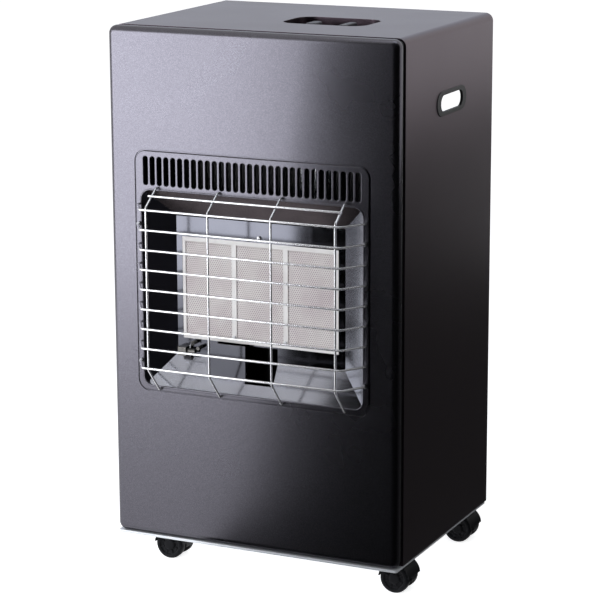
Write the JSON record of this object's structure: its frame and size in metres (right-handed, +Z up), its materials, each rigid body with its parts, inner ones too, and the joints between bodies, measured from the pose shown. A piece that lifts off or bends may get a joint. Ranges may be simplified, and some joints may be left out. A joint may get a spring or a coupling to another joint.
{
  "type": "portable propane heater",
  "caption": "Cabinet gas heater on swivel casters: infrared burner behind a wire guard, louvred surround, recessed top controls, side hand holes and a rear bottle bay with a lift-off cover.",
  "frame": {"origin": "on the floor, under the centre of the bounding box", "axes": "+Z up, -Y is the front with the burner, +X is the right-hand side seen from the front"},
  "size_m": [0.4224, 0.3955, 0.748],
  "materials": {
    "panel_paint": "semi-gloss charcoal metallic",
    "shell_paint": "semi-gloss charcoal metallic",
    "foam_seal": "matte black foam strip",
    "bright_wire": "bright plated wire",
    "mirror_sheet": "bright reflector sheet",
    "dark_sheet": "heat-blackened sheet",
    "plain_steel": "aluminised sheet steel",
    "ceramic": "matte perforated cordierite",
    "gasket": "ceramic fibre",
    "zinc": "zinc-plated sheet",
    "brass": "turned brass",
    "pipe": "drawn tube",
    "copper": "copper lead",
    "lead": "silicone lead",
    "insulator": "glazed",
    "black_plastic": "moulded satin black",
    "knob_plastic": "moulded black",
    "nylon": "moulded nylon",
    "wheel_plastic": "moulded nylon tread",
    "fastener": "zinc-plated screw"
  },
  "bodies": {
    "cabinet": {"cabinet_shell": "shell_paint", "front_panel": "panel_paint", "panel_seal": "foam_seal", "louvre_surround": "panel_paint", "wire_guard": "bright_wire", "guard_clips": "bright_wire", "reflector_left": "dark_sheet", "reflector_right": "mirror_sheet", "reflector_top": "mirror_sheet", "reflector_bottom": "mirror_sheet", "deflector_plate": "mirror_sheet", "burner_back_plate": "mirror_sheet", "pilot_shield": "mirror_sheet", "burner_frame": "plain_steel", "ceramic_plaque_left": "ceramic", "ceramic_plaque_centre": "ceramic", "ceramic_plaque_right": "ceramic", "plaque_gaskets": "gasket", "burner_housing": "plain_steel", "mixing_tubes": "plain_steel", "injector_rail": "plain_steel", "injectors": "brass", "gas_pipes": "pipe", "burner_stays": "plain_steel", "pilot_burner": "plain_steel", "electrode_insulator": "insulator", "electrode_pin": "fastener", "thermocouple": "copper", "ignition_lead": "lead", "heat_shield": "plain_steel", "base_plate": "zinc", "bottle_guides": "zinc", "cover_rail": "shell_paint", "hand_grip_left": "black_plastic", "hand_grip_right": "black_plastic", "control_tray": "shell_paint", "gas_valve": "brass", "valve_bracket": "plain_steel", "igniter_body": "black_plastic", "hose_nozzle": "brass", "caster_sockets": "plain_steel", "caster_stems": "fastener", "screws": "fastener"},
    "valve_spindle": {"valve_spindle": "fastener"},
    "control_knob": {"control_knob": "knob_plastic"},
    "igniter_button": {"igniter_button": "knob_plastic"},
    "rear_cover": {"rear_cover": "shell_paint"},
    "caster_front_left": {"caster_front_left_housing": "nylon"},
    "wheel_front_left_a": {"caster_front_left_wheel_a": "wheel_plastic"},
    "wheel_front_left_b": {"caster_front_left_wheel_b": "wheel_plastic"},
    "caster_front_right": {"caster_front_right_housing": "nylon"},
    "wheel_front_right_a": {"caster_front_right_wheel_a": "wheel_plastic"},
    "wheel_front_right_b": {"caster_front_right_wheel_b": "wheel_plastic"},
    "caster_rear_left": {"caster_rear_left_housing": "nylon"},
    "wheel_rear_left_a": {"caster_rear_left_wheel_a": "wheel_plastic"},
    "wheel_rear_left_b": {"caster_rear_left_wheel_b": "wheel_plastic"},
    "caster_rear_right": {"caster_rear_right_housing": "nylon"},
    "wheel_rear_right_a": {"caster_rear_right_wheel_a": "wheel_plastic"},
    "wheel_rear_right_b": {"caster_rear_right_wheel_b": "wheel_plastic"}
  },
  "joints": [
    {"name": "tap_turn", "type": "hinge", "parent": "cabinet", "child": "valve_spindle", "pos_m": [0.076, -0.01725, 0.703], "axis": [0, 0, 1], "range_deg": [0, 240]},
    {"name": "knob_push", "type": "slide", "parent": "valve_spindle", "child": "control_knob", "axis": [0, 0, -1], "range_m": [0, 0.004], "stiffness_N_per_m": 1200, "springref_m": -0.003},
    {"name": "igniter_push", "type": "slide", "parent": "cabinet", "child": "igniter_button", "axis": [0, 0, -1], "range_m": [0, 0.005], "stiffness_N_per_m": 2000, "springref_m": -0.002},
    {"name": "cover_lift_off", "type": "slide", "parent": "cabinet", "child": "rear_cover", "axis": [0, 1, 0], "range_m": [0, 0.3]},
    {"name": "swivel_front_left", "type": "hinge", "parent": "cabinet", "child": "caster_front_left", "pos_m": [-0.17, -0.09725, 0.0455], "axis": [0, 0, 1], "continuous": true},
    {"name": "roll_front_left_a", "type": "hinge", "parent": "caster_front_left", "child": "wheel_front_left_a", "pos_m": [-0.152, -0.11125, 0.0205], "axis": [0, 1, 0], "continuous": true},
    {"name": "roll_front_left_b", "type": "hinge", "parent": "caster_front_left", "child": "wheel_front_left_b", "pos_m": [-0.152, -0.08325, 0.0205], "axis": [0, 1, 0], "continuous": true},
    {"name": "swivel_front_right", "type": "hinge", "parent": "cabinet", "child": "caster_front_right", "pos_m": [0.17, -0.09725, 0.0455], "axis": [0, 0, 1], "continuous": true},
    {"name": "roll_front_right_a", "type": "hinge", "parent": "caster_front_right", "child": "wheel_front_right_a", "pos_m": [0.188, -0.11125, 0.0205], "axis": [0, 1, 0], "continuous": true},
    {"name": "roll_front_right_b", "type": "hinge", "parent": "caster_front_right", "child": "wheel_front_right_b", "pos_m": [0.188, -0.08325, 0.0205], "axis": [0, 1, 0], "continuous": true},
    {"name": "swivel_rear_left", "type": "hinge", "parent": "cabinet", "child": "caster_rear_left", "pos_m": [-0.17, 0.13275, 0.0455], "axis": [0, 0, 1], "continuous": true},
    {"name": "roll_rear_left_a", "type": "hinge", "parent": "caster_rear_left", "child": "wheel_rear_left_a", "pos_m": [-0.152, 0.11875, 0.0205], "axis": [0, 1, 0], "continuous": true},
    {"name": "roll_rear_left_b", "type": "hinge", "parent": "caster_rear_left", "child": "wheel_rear_left_b", "pos_m": [-0.152, 0.14675, 0.0205], "axis": [0, 1, 0], "continuous": true},
    {"name": "swivel_rear_right", "type": "hinge", "parent": "cabinet", "child": "caster_rear_right", "pos_m": [0.17, 0.13275, 0.0455], "axis": [0, 0, 1], "continuous": true},
    {"name": "roll_rear_right_a", "type": "hinge", "parent": "caster_rear_right", "child": "wheel_rear_right_a", "pos_m": [0.188, 0.11875, 0.0205], "axis": [0, 1, 0], "continuous": true},
    {"name": "roll_rear_right_b", "type": "hinge", "parent": "caster_rear_right", "child": "wheel_rear_right_b", "pos_m": [0.188, 0.14675, 0.0205], "axis": [0, 1, 0], "continuous": true}
  ]
}
